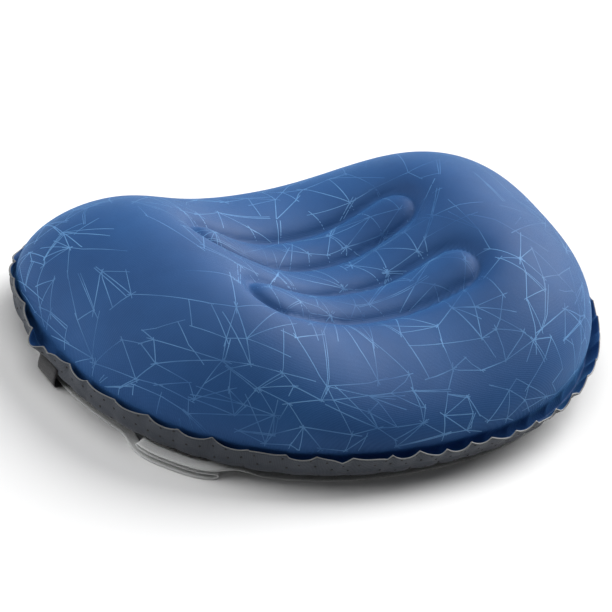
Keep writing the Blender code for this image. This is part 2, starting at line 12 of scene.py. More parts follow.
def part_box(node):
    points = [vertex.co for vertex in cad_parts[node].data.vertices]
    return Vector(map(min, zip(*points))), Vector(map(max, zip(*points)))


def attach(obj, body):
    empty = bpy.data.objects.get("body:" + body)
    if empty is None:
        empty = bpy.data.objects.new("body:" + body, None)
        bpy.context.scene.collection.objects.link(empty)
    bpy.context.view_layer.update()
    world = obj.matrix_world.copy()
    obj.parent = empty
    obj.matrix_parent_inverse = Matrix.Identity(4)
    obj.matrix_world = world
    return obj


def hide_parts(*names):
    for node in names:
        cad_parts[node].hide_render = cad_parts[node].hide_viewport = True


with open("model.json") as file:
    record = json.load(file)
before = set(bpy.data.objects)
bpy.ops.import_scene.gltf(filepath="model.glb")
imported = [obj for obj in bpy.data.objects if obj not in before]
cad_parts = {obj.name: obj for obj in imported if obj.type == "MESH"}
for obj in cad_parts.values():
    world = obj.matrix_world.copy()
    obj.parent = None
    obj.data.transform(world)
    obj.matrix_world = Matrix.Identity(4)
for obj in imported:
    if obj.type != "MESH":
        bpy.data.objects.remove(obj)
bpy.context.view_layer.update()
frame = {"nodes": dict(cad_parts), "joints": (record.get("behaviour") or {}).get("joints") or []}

BODY = "pillow"
SEED = 7

# Form of the inflated body, in metres, as part.py has it
HALF_LENGTH = 0.205
HALF_DEPTH = 0.142
OUTLINE_POWER = 2.7
BEND = 0.973
SIDE_HEIGHT = 0.028
CROWN = 0.0914
CROWN_POWER = 1.82
CRADLE_DEPTH = 0.066
CRADLE_HALF_LENGTH = 0.091
CRADLE_POWER = 2.5
CRADLE_REAR = 0.0553
CRADLE_REACH = 0.1014
CRADLE_LEAST = 0.524
RINGS = ((0.0522, 0.0190, 0.0884), (-0.0294, 0.0203, 0.0900))
RING_BEND = 0.71
WELD_OUT = 0.0015
WELD_HEIGHT_FRONT = 0.014
WELD_HEIGHT_REAR = 0.026
REAR_START = -0.1
REAR_SPAN = 0.8
MARGIN = 0.013
LEAN_LEAST = math.radians(45)
LEAN_MOST = math.radians(80)
LEAN_SIDES = (math.radians(-135), math.radians(15))
LEAN_SPREADS = (math.radians(75), math.radians(28))
LEAN_REAR = math.radians(-35)
LEAN_REAR_START = 0.45
LEAN_REAR_SPAN = 0.35
BORDER_FRONT = 0.034
BORDER_REAR = 0.065
BORDER_POWER_FRONT = 1.6
BORDER_POWER_REAR = 1.3
CAD_SIDE = 0.0011           # from the middle of the CAD margin to its outer faces
STRAP_WIDTH = 0.012
STRAP_THICKNESS = 0.0009
STRAP_INSET = 0.008
STRAP_START = math.radians(171)
STRAP_END = math.radians(369)
STRAP_LOOP_SHIFT = 0.0045
STRAP_LOOP_SPREAD = math.radians(9)
BIGHT_SIDE = math.radians(223.5)
BIGHT_SPREAD = math.radians(9.5)
BIGHT_REACH = 0.0145
LOOP_SIDE = math.radians(187.5)
LOOP_WIDTH = 0.022
LOOP_THICKNESS = 0.001
LOOP_INNER = 0.0185
OTHER_LOOP_SIDE = 3 * math.pi - LOOP_SIDE

# Finer detail of the fabric
FABRIC = 0.00045
FABRIC_SIDE = FABRIC + 0.0001   # from the middle of the margin to each fabric's outer face
CREASE_DEPTH = 0.0095
CREASE_MOST = 1.15              # where two creases meet, as a share of one
CREASE_WIDTH = 0.0062
CREASE_ROUND = 0.0008
PUCKER_SHORT = 0.008
PUCKER_LONG = 0.015
PUCKER_LEAST = 0.45
PUCKER_OUT = 0.0018
PUCKER_REST = 0.0003
PUCKER_CUSP = 2.2
PUCKER_WIDEN = 0.10
PUCKER_RISE = 1.2
RAGGED_SHORT = 0.006
RAGGED_LONG = 0.03
RAGGED_LEAN = 0.10
RAGGED_WIDTH = 0.07
COLUMNS = 236
ROWS = 168
SHEET_REACH = 1.0001            # the sheet's own square reaches 1, and its first ring lies at 2
TINY = 1e-6

# The margin stands close against both ends, is pulled out by the left loop, and is tucked in behind
CLOSE_LEFT = math.radians(160)
CLOSE_RIGHT = math.radians(12)
CLOSE_SPREAD = math.radians(24)
CLOSE_LEAN = math.radians(84)
PULL_SIDE = LOOP_SIDE - math.radians(3)
PULL_SPREAD = math.radians(4.5)
PULL = 0.5
TUCK_SIDE = math.radians(141)
TUCK_SPREAD = math.radians(15)
TUCK = 0.85


# ---------------------------------------------------------------- form

def smooth_step(value):
    value = min(max(value, 0.0), 1.0)
    return value * value * (3 - 2 * value)


def mix(first, second, share):
    return first + (second - first) * share


def bell(turn, centre, spread):
    return math.exp(-(((turn - centre) / spread) ** 2))


def turn_between(first, second):
    return (first - second + math.pi) % (2 * math.pi) - math.pi


def turn_of(c, s):
    """Angle of a direction, from 0 to a whole turn."""
    return math.atan2(s, c) % (2 * math.pi)


def on_outline(u, v):
    """Point of the unit outline in the direction (u, v)."""
    size = (abs(u) ** OUTLINE_POWER + abs(v) ** OUTLINE_POWER) ** (1 / OUTLINE_POWER)
    return u / size, v / size


def outward(c, s):
    nx = math.copysign(abs(c) ** (OUTLINE_POWER - 1), c) / HALF_LENGTH
    nv = math.copysign(abs(s) ** (OUTLINE_POWER - 1), s) / HALF_DEPTH
    size = math.hypot(nx, nv)
    return nx / size, nv / size


def bent(x, v):
    return x, v + BEND * x * x


def rear_share(s):
    return smooth_step((s - REAR_START) / REAR_SPAN)


def weld_height(s):
    return mix(WELD_HEIGHT_FRONT, WELD_HEIGHT_REAR, rear_share(s))


def lean_of(c, s):
    share = 0.0
    for side, spread in zip(LEAN_SIDES, LEAN_SPREADS):
        share = max(share, math.exp(-((turn_between(math.atan2(s, c), side) / spread) ** 2)))
    standing = mix(LEAN_LEAST, LEAN_MOST, share)
    return mix(standing, LEAN_REAR, smooth_step((s - LEAN_REAR_START) / LEAN_REAR_SPAN))


def beside_outline(c, s, out):
    nx, nv = outward(c, s)
    return bent(c * HALF_LENGTH + out * nx, s * HALF_DEPTH + out * nv)


def margin_point(c, s, along, side, lean):
    out = WELD_OUT + along * math.cos(lean) - side * math.sin(lean)
    return out, weld_height(s) + along * math.sin(lean) + side * math.cos(lean)


def find_middle():
    """Middle of the CAD pillow's formula in plan, which the CAD box's middle is laid on."""
    xs = []
    ys = []
    for step in range(720):
        turn = math.radians(step / 2)
        c, s = on_outline(math.cos(turn), math.sin(turn))
        out, _ = margin_point(c, s, MARGIN, -CAD_SIDE, lean_of(c, s))
        x, y = beside_outline(c, s, out)
        xs.append(x)
        ys.append(y)
    low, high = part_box("bottom_skin")
    shift_x = (low.x + high.x) / 2 - (min(xs) + max(xs)) / 2
    shift_y = (low.y + high.y) / 2 - (min(ys) + max(ys)) / 2
    return shift_x, shift_y


SHIFT = find_middle()


def placed(x, y, z):
    return Vector((x + SHIFT[0], y + SHIFT[1], z))


def near_outline(c, s, out, z):
    return placed(*beside_outline(c, s, out), z)


# ---------------------------------------------------------------- puckers of the margin

class Puckers:
    """Irregular ripples along the welded margin, from round bulges at 1 to sharp grooves at -1."""

    STEPS = 2400

    def __init__(self, short, long, seed):
        rng = random.Random(seed)
        spots = [near_outline(*self.direction(step), MARGIN / 2, 0.0) for step in range(self.STEPS + 1)]
        lengths = [0.0]
        for first, second in zip(spots, spots[1:]):
            lengths.append(lengths[-1] + (second - first).length)
        knots = [0.0]
        while knots[-1] < lengths[-1]:
            knots.append(knots[-1] + rng.uniform(short, long))
        if len(knots) % 2 == 0:
            knots.append(knots[-1] + (short + long) / 2)
        stretch = lengths[-1] / knots[-1]
        knots = [knot * stretch for knot in knots]
        heights = [rng.uniform(PUCKER_LEAST, 1.0) * (-1 if number % 2 else 1) for number in range(len(knots))]
        heights[-1] = heights[0]
        self.table = []
        number = 0
        for length in lengths:
            while number < len(knots) - 2 and length > knots[number + 1]:
                number += 1
            share = (length - knots[number]) / (knots[number + 1] - knots[number])
            if number % 2:
                share = 1 - (1 - share) ** PUCKER_CUSP
            else:
                share = share ** PUCKER_CUSP
            self.table.append(mix(heights[number], heights[number + 1], share))

    def direction(self, step):
        turn = 2 * math.pi * step / self.STEPS
        return on_outline(math.cos(turn), math.sin(turn))

    def at(self, c, s):
        place = turn_of(c, s) / (2 * math.pi) * self.STEPS
        step = min(int(place), self.STEPS - 1)
        return mix(self.table[step], self.table[step + 1], place - step)


RIPPLES = Puckers(PUCKER_SHORT, PUCKER_LONG, SEED)
RAGGED = Puckers(RAGGED_SHORT, RAGGED_LONG, SEED + 1)


def soft_lean(c, s):
    """Lean of the margin: close against both ends, pulled outwards at the left loop."""
    turn = turn_of(c, s)
    pull = bell(turn, PULL_SIDE, PULL_SPREAD)
    left = turn_between(turn, CLOSE_LEFT) / CLOSE_SPREAD
    right = turn_between(turn, CLOSE_RIGHT) / CLOSE_SPREAD
    close = math.exp(-min(left * left, right * right))
    standing = mix(lean_of(c, s), CLOSE_LEAN, close)
    return standing * (1 - PULL * pull) + RAGGED_LEAN * RAGGED.at(c, s)


def soft_margin(c, s, share, side):
    """Out and up of the rippled margin: share 0 at the weld line, 1 at the free edge."""
    lean = soft_lean(c, s)
    tuck = TUCK * bell(turn_of(c, s), TUCK_SIDE, TUCK_SPREAD)
    ragged = 1 + RAGGED_WIDTH * RAGGED.at(c, s) - PUCKER_WIDEN * RIPPLES.at(c, s)
    along = MARGIN * share * ragged * (1 - tuck)
    ripple = PUCKER_REST + PUCKER_OUT * RIPPLES.at(c, s)
    push = -ripple * share ** PUCKER_RISE
    return margin_point(c, s, along, side + push, lean)


# ---------------------------------------------------------------- top skin

def ring_distance(x, v, ring):
    """Signed distance from a banana-shaped weld line, negative inside."""
    middle, half_width, half_length = ring
    past_end = max(abs(x) - (half_length - half_width), 0.0)
    across = v - middle - (RING_BEND - BEND) * x * x
    return math.hypot(past_end, across) - half_width


def crease(x, v):
    """How far the tie rings' welds hold the fabric down."""
    depth = 0.0
    for ring in RINGS:
        distance = math.hypot(ring_distance(x, v, ring), CREASE_ROUND) - CREASE_ROUND
        depth += CREASE_DEPTH * math.exp(-distance / CREASE_WIDTH)
    return min(depth, CREASE_MOST * CREASE_DEPTH)


def top_height(x, v, reach):
    dome = math.sqrt(max(1 - reach ** CROWN_POWER, 0.0))
    behind = math.exp(-(((v - CRADLE_REAR) / CRADLE_REACH) ** 2))
    cradle = CRADLE_DEPTH * mix(CRADLE_LEAST, 1.0, behind)
    cradle *= math.exp(-((abs(x) / CRADLE_HALF_LENGTH) ** CRADLE_POWER))
    return SIDE_HEIGHT + dome * (CROWN - cradle - crease(x, v))


WALL_RINGS = (0.3, 0.6, 0.85, 1.0)
WALL_SAG = 0.0016
WALL_RIPPLE = 0.5
MARGIN_RINGS = (0.12, 0.3, 0.5, 0.7, 0.86, 1.0)
REACH_POWER = 0.92


def top_point(u, v):
    """Where a point of the square sheet and its rings goes on the top skin."""
    reach = max(abs(u), abs(v))
    if reach < TINY:
        return placed(0.0, 0.0, top_height(0.0, 0.0, 0.0))
    c, s = on_outline(u, v)
    if reach <= SHEET_REACH:
        reach = math.sin(min(reach, 1.0) * math.pi / 2) ** REACH_POWER
        x = c * HALF_LENGTH * reach
        depth = s * HALF_DEPTH * reach
        return placed(*bent(x, depth), top_height(x, depth, reach))
    ring = round(reach) - 2
    if ring < len(WALL_RINGS):
        share = WALL_RINGS[ring]
        out, z = soft_margin(c, s, 0.0, FABRIC_SIDE)
        sag = WALL_SAG * math.sin(share * math.pi) * (1 + WALL_RIPPLE * RIPPLES.at(c, s))
        return near_outline(c, s, mix(0.0, out, share) - sag, mix(SIDE_HEIGHT, z, share))
    share = MARGIN_RINGS[ring - len(WALL_RINGS)]
    return near_outline(c, s, *soft_margin(c, s, share, FABRIC_SIDE))


def unit_sheet(rings, columns, rows):
    """A square sheet with rings grown round it, one unit apart."""
    bm = bmesh.new()
    bmesh.ops.create_grid(bm, x_segments=columns, y_segments=rows, size=1)
    for ring in range(1, rings + 1):
        border = [edge for edge in bm.edges if edge.is_boundary]
        for vert in bmesh.ops.extrude_edge_only(bm, edges=border)["geom"]:
            if isinstance(vert, bmesh.types.BMVert):
                vert.co *= (ring + 1) / ring
    return bm


def add_faces(bm, rows, round_rows=False, round_cells=False):
    """Fill the cells between rows of vertices, which may close on themselves either way."""
    after_rows = rows[1:] + rows[:1] if round_rows else rows[1:]
    for first, second in zip(rows, after_rows):
        for cell in range(len(first) if round_cells else len(first) - 1):
            after = (cell + 1) % len(first)
            bm.faces.new((first[cell], first[after], second[after], second[cell]))


def add_mesh(name, bm, material):
    """Make a piece of the pillow from a bmesh, smooth-shaded, riding on the pillow's body."""
    mesh = bpy.data.meshes.new(name)
    bm.to_mesh(mesh)
    bm.free()
    mesh.shade_smooth()
    obj = bpy.data.objects.new(name, mesh)
    bpy.context.scene.collection.objects.link(obj)
    mesh.materials.append(material)
    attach(obj, BODY)
    return obj


def thicken(obj, thickness, offset):
    """Give a sheet its thickness, from -1 for all of it inwards to 0 for half each way."""
    wall = obj.modifiers.new("wall", "SOLIDIFY")
    wall.thickness = thickness
    wall.offset = offset


def face_up(bm, up=True):
    """Turn the faces the way that the middle of the sheet has to look."""
    bmesh.ops.recalc_face_normals(bm, faces=bm.faces)
    middle = min(bm.faces, key=lambda face: face.calc_center_median().xy.length)
    if (middle.normal.z > 0) != up:
        bmesh.ops.reverse_faces(bm, faces=bm.faces)


def build_top_skin(material):
    bm = unit_sheet(len(WALL_RINGS) + len(MARGIN_RINGS), COLUMNS, ROWS)
    for vert in bm.verts:
        vert.co = top_point(vert.co.x, vert.co.y)
    face_up(bm)
    skin = add_mesh("top_cover", bm, material)
    thicken(skin, FABRIC, -1)
    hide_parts("top_skin")
    return skin


# ---------------------------------------------------------------- bottom skin

def border_width(s):
    return mix(BORDER_FRONT, BORDER_REAR, rear_share(s))


def border_profile(c, s, share):
    """Out and up of the underside's rounded border: share 0 on the floor, 1 at the weld line."""
    power = mix(BORDER_POWER_FRONT, BORDER_POWER_REAR, rear_share(s))
    out, z = soft_margin(c, s, 0.0, -FABRIC_SIDE)
    rise = 1 - math.sqrt(max(1 - share ** power, 0.0))
    groove = BORDER_GROOVE * RIPPLES.at(c, s) * share * share
    return mix(-border_width(s), out, share) + groove * share, z * rise


def valve_frame():
    """Centre and outward normal of the valve and the way along its hinge, from its pieces and joints."""
    joints = {joint["name"]: joint for joint in frame["joints"]}
    normal = -Vector(joints["flap_lift"]["axis"]).normalized()
    across = Vector(joints["plug_hinge"]["axis"]).normalized()
    low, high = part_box("valve_base")
    return (low + high) / 2, normal, across


def cad_tree(node):
    mesh = frame["nodes"][node].data
    return BVHTree.FromPolygons([v.co for v in mesh.vertices], [p.vertices for p in mesh.polygons])


def rim_height():
    """How far out along the valve's axis the CAD underside lies, at the edge of its hole."""
    aside = VALVE_ACROSS * (VALVE_HOLE + RIM_ASIDE)
    start = VALVE_CENTRE + aside + VALVE_NORMAL * VALVE_LOOK
    return (UNDERSIDE.ray_cast(start, -VALVE_NORMAL)[0] - VALVE_CENTRE).dot(VALVE_NORMAL)


BORDER_RINGS = (0.1, 0.22, 0.34, 0.46, 0.57, 0.67, 0.76, 0.84, 0.9, 0.95, 0.985, 1.0)
BORDER_GROOVE = 0.0011
VALVE_CENTRE, VALVE_NORMAL, VALVE_ACROSS = valve_frame()
VALVE_HOLE = 0.0107
VALVE_NEAR = 0.019              # up to here the fabric follows the CAD, and from VALVE_FAR it is free
VALVE_FAR = 0.027
VALVE_LOOK = 0.02
RIM_EDGE = 0.0004               # beyond the hole, where the CAD fabric's edge may be missed
RIM_ASIDE = 0.0015
UNDERSIDE = cad_tree("bottom_skin")
VALVE_RIM = rim_height()


def bottom_point(u, v):
    """Where a point of the square sheet and its rings goes on the bottom skin."""
    reach = max(abs(u), abs(v))
    if reach < TINY:
        return placed(0.0, 0.0, 0.0)
    c, s = on_outline(u, v)
    if reach <= SHEET_REACH:
        edge = near_outline(c, s, -border_width(s), 0.0)
        return placed(0.0, 0.0, 0.0).lerp(edge, min(reach, 1.0))
    ring = round(reach) - 2
    if ring < len(BORDER_RINGS):
        return near_outline(c, s, *border_profile(c, s, BORDER_RINGS[ring]))
    share = MARGIN_RINGS[ring - len(BORDER_RINGS)]
    return near_outline(c, s, *soft_margin(c, s, share, -FABRIC_SIDE))


def off_valve_axis(point):
    """What leads straight from the valve's axis to a point."""
    offset = point - VALVE_CENTRE
    return offset - offset.dot(VALVE_NORMAL) * VALVE_NORMAL


def held_by_valve(point):
    """Near the valve the fabric follows the flat patch that the CAD underside has there."""
    away = off_valve_axis(point).length
    if away > VALVE_FAR:
        return point
    if away < VALVE_HOLE + RIM_EDGE:
        return point - (point - VALVE_CENTRE).dot(VALVE_NORMAL) * VALVE_NORMAL + VALVE_RIM * VALVE_NORMAL
    hit = UNDERSIDE.ray_cast(point + VALVE_NORMAL * VALVE_LOOK, -VALVE_NORMAL)[0]
    if hit is None:
        return point
    hold = 1 - smooth_step((away - VALVE_NEAR) / (VALVE_FAR - VALVE_NEAR))
    return point.lerp(hit, hold)


def cut_valve_hole(bm):
    """Open the fabric where the valve passes through it, and round the edge of the opening."""
    inside = [face for face in bm.faces if off_valve_axis(face.calc_center_median()).length < VALVE_HOLE]
    bmesh.ops.delete(bm, geom=inside, context="FACES")
    for vert in bm.verts:
        away = off_valve_axis(vert.co)
        if vert.is_boundary and away.length < 1.5 * VALVE_HOLE:
            vert.co += away * (VALVE_HOLE / away.length - 1)


def build_bottom_skin(material):
    bm = unit_sheet(len(BORDER_RINGS) + len(MARGIN_RINGS), COLUMNS, ROWS)
    for vert in bm.verts:
        reach = max(abs(vert.co.x), abs(vert.co.y))
        vert.co = bottom_point(vert.co.x, vert.co.y)
        if reach <= SHEET_REACH:
            vert.co = held_by_valve(vert.co)
    cut_valve_hole(bm)
    face_up(bm, up=False)
    skin = add_mesh("bottom_cover", bm, material)
    thicken(skin, FABRIC, -1)
    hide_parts("bottom_skin")
    return skin


# ---------------------------------------------------------------- edge, dots and printed lines

EDGE_STEPS = 1600
EDGE_SECTION = ((-0.00056, -0.0002), (-0.00045, 0.0002), (0.00045, 0.0002), (0.00056, -0.0002))


def build_edge(material):
    """The pale cut edge of the two films, along the free edge of the margin."""
    bm = bmesh.new()
    loops = []
    for step in range(EDGE_STEPS):
        turn = 2 * math.pi * step / EDGE_STEPS
        c, s = on_outline(math.cos(turn), math.sin(turn))
        lean = soft_lean(c, s)
        out, z = soft_margin(c, s, 1.0, 0.0)
        loop = []
        for side, along in EDGE_SECTION:
            far = out + along * math.cos(lean) - side * math.sin(lean)
            up = z + along * math.sin(lean) + side * math.cos(lean)
            loop.append(bm.verts.new(near_outline(c, s, far, up)))
        loops.append(loop)
    add_faces(bm, loops, round_rows=True, round_cells=True)
    bmesh.ops.recalc_face_normals(bm, faces=bm.faces)
    add_mesh("margin_edge", bm, material)


DOT_PITCH = 0.0118
DOT_RADIUS = 0.0009
DOT_HEIGHT = 0.0003
DOT_SIDES = 10
DOT_DOME = ((1.0, -0.0001), (0.92, 0.6 * DOT_HEIGHT), (0.55, DOT_HEIGHT))   # share of radius, height
DOTS_HALF_LENGTH = 0.24
DOTS_OFF_VALVE = 0.017
FLAT_PER_WIDTH = 1.03           # the border's length in the flat fabric, for its width and its rise
FLAT_PER_RISE = 0.35
DOTS_MARGIN = 0.93
SETTLE_STEPS = 6


def outside_of(x, v):
    """Direction and distance outside the outline of a point of the unbent plan."""
    c, s = on_outline(x / HALF_LENGTH, v / HALF_DEPTH)
    nx, nv = outward(c, s)
    for _ in range(SETTLE_STEPS):
        out = (x - c * HALF_LENGTH) * nx + (v - s * HALF_DEPTH) * nv
        c, s = on_outline((x - out * nx) / HALF_LENGTH, (v - out * nv) / HALF_DEPTH)
        nx, nv = outward(c, s)
    return c, s, (x - c * HALF_LENGTH) * nx + (v - s * HALF_DEPTH) * nv


def underside_at(x, v):
    """Where a point of the flat-cut bottom fabric ends up, or None past the free edge."""
    c, s, out = outside_of(x, v)
    width = border_width(s)
    past = out + width
    if past <= 0:
        return placed(*bent(x, v), 0.0)
    span = width * FLAT_PER_WIDTH + FLAT_PER_RISE * weld_height(s)
    if past < span:
        share = past / span
        return near_outline(c, s, *border_profile(c, s, share))
    share = (past - span) / MARGIN
    if share > DOTS_MARGIN:
        return None
    return near_outline(c, s, *soft_margin(c, s, share, -FABRIC_SIDE))


def build_dots(material, skin):
    """Raised grip dots in a staggered pattern over the whole underside and up its margin."""
    tree = evaluated_tree(skin)
    bm = bmesh.new()
    across = int(DOTS_HALF_LENGTH / DOT_PITCH)
    for row in range(-2 * across, 2 * across + 1):
        for column in range(-across, across + 1):
            x = (column + 0.5 * (row % 2)) * DOT_PITCH
            v = row * DOT_PITCH / 2
            spot = underside_at(x, v) if x or v else None
            if spot is None or (spot - VALVE_CENTRE).length < DOTS_OFF_VALVE:
                continue
            hit, normal, _, _ = tree.find_nearest(spot)
            add_dot(bm, hit, normal)
    add_mesh("grip_dots", bm, material)


def add_dot(bm, centre, normal):
    """A low dome on the fabric."""
    turn = normal.to_track_quat("Z", "X").to_matrix().to_4x4()
    place = Matrix.Translation(centre) @ turn
    rings = []
    for share, height in DOT_DOME:
        radius = DOT_RADIUS * share
        ring = []
        for step in range(DOT_SIDES):
            angle = 2 * math.pi * step / DOT_SIDES
            spot = Vector((radius * math.cos(angle), radius * math.sin(angle), height))
            ring.append(bm.verts.new(place @ spot))
        rings.append(ring)
    add_faces(bm, rings, round_cells=True)
    bm.faces.new(rings[-1])
    bm.faces.new(list(reversed(rings[0])))


def evaluated_tree(obj):
    """Search tree of a piece as it ends up, with its thickness."""
    bpy.context.view_layer.update()
    graph = bpy.context.evaluated_depsgraph_get()
    solid = obj.evaluated_get(graph)
    mesh = solid.to_mesh()
    place = obj.matrix_world
    tree = BVHTree.FromPolygons([place @ v.co for v in mesh.vertices], [p.vertices for p in mesh.polygons])
    solid.to_mesh_clear()
    return tree


LINE_WIDTH = 0.00062
LINE_WIDTHS = (0.75, 1.15)
LINE_LIFT = 0.00006
LINE_STEP = 0.0025
LINE_DOWN = -0.25               # no line where the fabric looks further down than this
NET_CELL = 0.0175
NET_HALF_LENGTH = 0.27
NET_HALF_DEPTH = 0.22
NET_SKIPPED = 0.20
NET_JITTER = 0.48
NET_OVERRUN = (-0.04, 0.22)
NET_DOUBLED = 0.12
NET_DOUBLE_GAP = (0.0015, 0.003)
NET_DOUBLE_END = 0.4
NET_FANS = 110
FAN_SPOKES = (1, 1, 2, 3)
FAN_TURN = (0.15, 0.5)
FAN_REACH = (0.018, 0.05)
SHARE_PLAIN = 0.58
SHARE_CRADLE = 0.30
# Painted light: the net is thinned on the hump tops, standing in for light washing the lines out there
HUMP_MIDDLE = (0.128, 0.020)
HUMP_SPREAD = (0.042, 0.065)
CRADLE_MIDDLE = 0.005
CRADLE_SPREAD = (0.10, 0.075)
FLAT_INNER = -0.030             # the flat fabric past this line is drawn round the side
FLAT_OUTER = 0.052
FLAT_LAST = 0.97
FLAT_POWER = 1.05


def line_share(point):
    """How much of the net is printed at a point: most in the cradle, and little on top of the humps, where
    thinning the print is painted light that washes the lines out.
    """
    past_x = (abs(point.x) - HUMP_MIDDLE[0]) / HUMP_SPREAD[0]
    past_y = (point.y - HUMP_MIDDLE[1]) / HUMP_SPREAD[1]
    hump = math.exp(-past_x ** 2 - past_y ** 2)
    in_y = (point.y - CRADLE_MIDDLE) / CRADLE_SPREAD[1]
    cradle = math.exp(-((point.x / CRADLE_SPREAD[0]) ** 4) - in_y ** 4)
    return SHARE_PLAIN * (1 - hump) + SHARE_CRADLE * cradle


def line_net(rng):
    """Straight lines of an irregular net over the unbent plan: triangles, split cells and double lines."""
    spots = []
    half_x = int(NET_HALF_LENGTH / NET_CELL)
    half_y = int(NET_HALF_DEPTH / NET_CELL)
    for column in range(-half_x, half_x + 1):
        for row in range(-half_y, half_y + 1):
            if rng.random() < NET_SKIPPED:
                continue
            x = (column + 0.5 * (row % 2) + rng.uniform(-NET_JITTER, NET_JITTER)) * NET_CELL
            y = (row + rng.uniform(-NET_JITTER, NET_JITTER)) * NET_CELL
            spots.append(Vector((x, y)))
    verts, edges, _, _, _, _ = delaunay_2d_cdt(spots, [], [], 0, 1e-6)
    lines = []
    for first, second in edges:
        a, b = verts[first].copy(), verts[second].copy()
        if rng.random() > line_share((a + b) / 2):
            continue
        run = b - a
        a -= run * rng.uniform(*NET_OVERRUN)
        b += run * rng.uniform(*NET_OVERRUN)
        if rng.random() < NET_DOUBLED:
            side = Vector((-run.y, run.x)).normalized() * rng.uniform(*NET_DOUBLE_GAP)
            lines.append((a + side, b + side * NET_DOUBLE_END))
        lines.append((a, b))
    for _ in range(NET_FANS):
        a = rng.choice(verts)
        if rng.random() > line_share(a):
            continue
        turn = rng.uniform(0, 2 * math.pi)
        for _ in range(rng.choice(FAN_SPOKES)):
            turn += rng.uniform(*FAN_TURN)
            b = a + Vector((math.cos(turn), math.sin(turn))) * rng.uniform(*FAN_REACH)
            lines.append((a.copy(), b))
    return lines


def reach_of(x, v):
    """How far out a point of the unbent plan lies, from 0 in the middle to 1 on the outline."""
    share_x, share_v = abs(x) / HALF_LENGTH, abs(v) / HALF_DEPTH
    return (share_x ** OUTLINE_POWER + share_v ** OUTLINE_POWER) ** (1 / OUTLINE_POWER)


def top_at(x, v):
    """Where a point of the flat-cut top fabric ends up, or None past its weld line."""
    c, s, out = outside_of(x, v)
    if out <= FLAT_INNER:
        return placed(*bent(x, v), top_height(x, v, min(reach_of(x, v), 1.0)))
    share = (out - FLAT_INNER) / (FLAT_OUTER - FLAT_INNER)
    if share > FLAT_LAST:
        return None
    flat = FLAT_INNER * (1 - math.sin(share * math.pi / 2) ** FLAT_POWER)
    base = near_outline(c, s, flat, 0.0)
    nx, nv = outward(c, s)
    px = c * HALF_LENGTH + nx * flat
    pv = s * HALF_DEPTH + nv * flat
    reach = reach_of(px, pv)
    height = top_height(px, pv, reach) if reach < 1 else SIDE_HEIGHT
    return Vector((base.x, base.y, height))


def build_lines(material, skin):
    """The printed net of pale lines, laid on the top skin as thin strips."""
    rng = random.Random(SEED)
    tree = evaluated_tree(skin)
    bm = bmesh.new()
    for a, b in line_net(rng):
        run = b - a
        steps = max(2, round(run.length / LINE_STEP))
        width = LINE_WIDTH * rng.uniform(*LINE_WIDTHS)
        trail = []
        for step in range(steps + 1):
            flat = a.lerp(b, step / steps)
            spot = top_at(flat.x, flat.y) if flat.length > TINY else None
            if spot is None:
                trail.append(None)
                continue
            hit, normal, _, _ = tree.find_nearest(spot)
            trail.append((hit, normal) if normal.z > LINE_DOWN else None)
        lay_strip(bm, trail, width, tree)
    add_mesh("printed_lines", bm, material)


def lay_strip(bm, trail, width, tree):
    """Strips over each unbroken stretch of a trail of points on the fabric."""
    before = None
    for number, now in enumerate(trail):
        if now is None:
            before = None
            continue
        here, normal = now
        ahead = trail[number + 1] if number + 1 < len(trail) else None
        behind = trail[number - 1] if number else None
        run = (ahead or now)[0] - (behind or now)[0]
        if run.length < TINY or run.length > 4 * LINE_STEP:
            before = None
            continue
        side = normal.cross(run).normalized() * width / 2
        pair = []
        for edge in (here - side, here + side):
            hit = tree.find_nearest(edge)[0]
            pair.append(bm.verts.new(hit + normal * LINE_LIFT))
        if before:
            bm.faces.new((before[0], before[1], pair[1], pair[0]))
        before = pair


# ---------------------------------------------------------------- strap and loops

DRAWN_THICKNESS = 0.9           # of the CAD's, for the strap and the loops
FOLD_LEFT = math.radians(218)
FOLD_RIGHT = math.radians(230)
FOLD_HEIGHTS = (0.00045, 0.0035, 0.0068)
FOLD_PUSH = (0.0035, 0.0015, 0.0025)
FOLD_BULGE = (0.0024, 0.0034)
FOLD_STEPS = 12
FALL_START = FOLD_RIGHT + math.radians(1.5)
FALL_SPAN = math.radians(8)
LOW_STEPS = 80
MIDDLE_STEPS = 16
LONG_STEPS = 180
STRAP_PROUD = 0.0025
STRAP_CELLS = 6
LOOP_RISE = 2.2
LOOP_GAP = 0.0003


def at_loops(turn):
    """1 where the strap is in a loop, falling to 0 away from both."""
    return max(bell(turn, side, STRAP_LOOP_SPREAD) for side in (LOOP_SIDE, OTHER_LOOP_SIDE))


def strap_trail():
    """(turn, height, push) points of the strap: along the edge, with one slack S-fold lying flat."""
    low, middle, high = FOLD_HEIGHTS
    trail = []
    for step in range(LOW_STEPS):
        turn = mix(STRAP_START, FOLD_RIGHT, step / (LOW_STEPS - 1))
        trail.append((turn, low, FOLD_PUSH[0]))
    trail += fold(FOLD_RIGHT, low, middle, FOLD_PUSH[0], FOLD_PUSH[1], FOLD_BULGE[0])
    for step in range(MIDDLE_STEPS):
        turn = mix(FOLD_RIGHT, FOLD_LEFT, step / (MIDDLE_STEPS - 1))
        trail.append((turn, middle, FOLD_PUSH[1]))
    trail += fold(FOLD_LEFT, middle, high, FOLD_PUSH[1], FOLD_PUSH[2], -FOLD_BULGE[1])
    for step in range(LONG_STEPS):
        turn = mix(FOLD_LEFT, STRAP_END, step / (LONG_STEPS - 1))
        fall = smooth_step((turn - FALL_START) / FALL_SPAN)
        trail.append((turn, mix(high, low, fall), FOLD_PUSH[2]))
    return trail


def fold(turn, start, end, push_start, push_end, bulge):
    """A round fold from one layer of the strap to the next."""
    points = []
    for step in range(1, FOLD_STEPS):
        share = step / FOLD_STEPS
        angle = math.pi * step / FOLD_STEPS
        height = (start + end) / 2 - (end - start) / 2 * math.cos(angle)
        points.append((turn + bulge * math.sin(angle) / HALF_DEPTH, height, mix(push_start, push_end, share)))
    return points


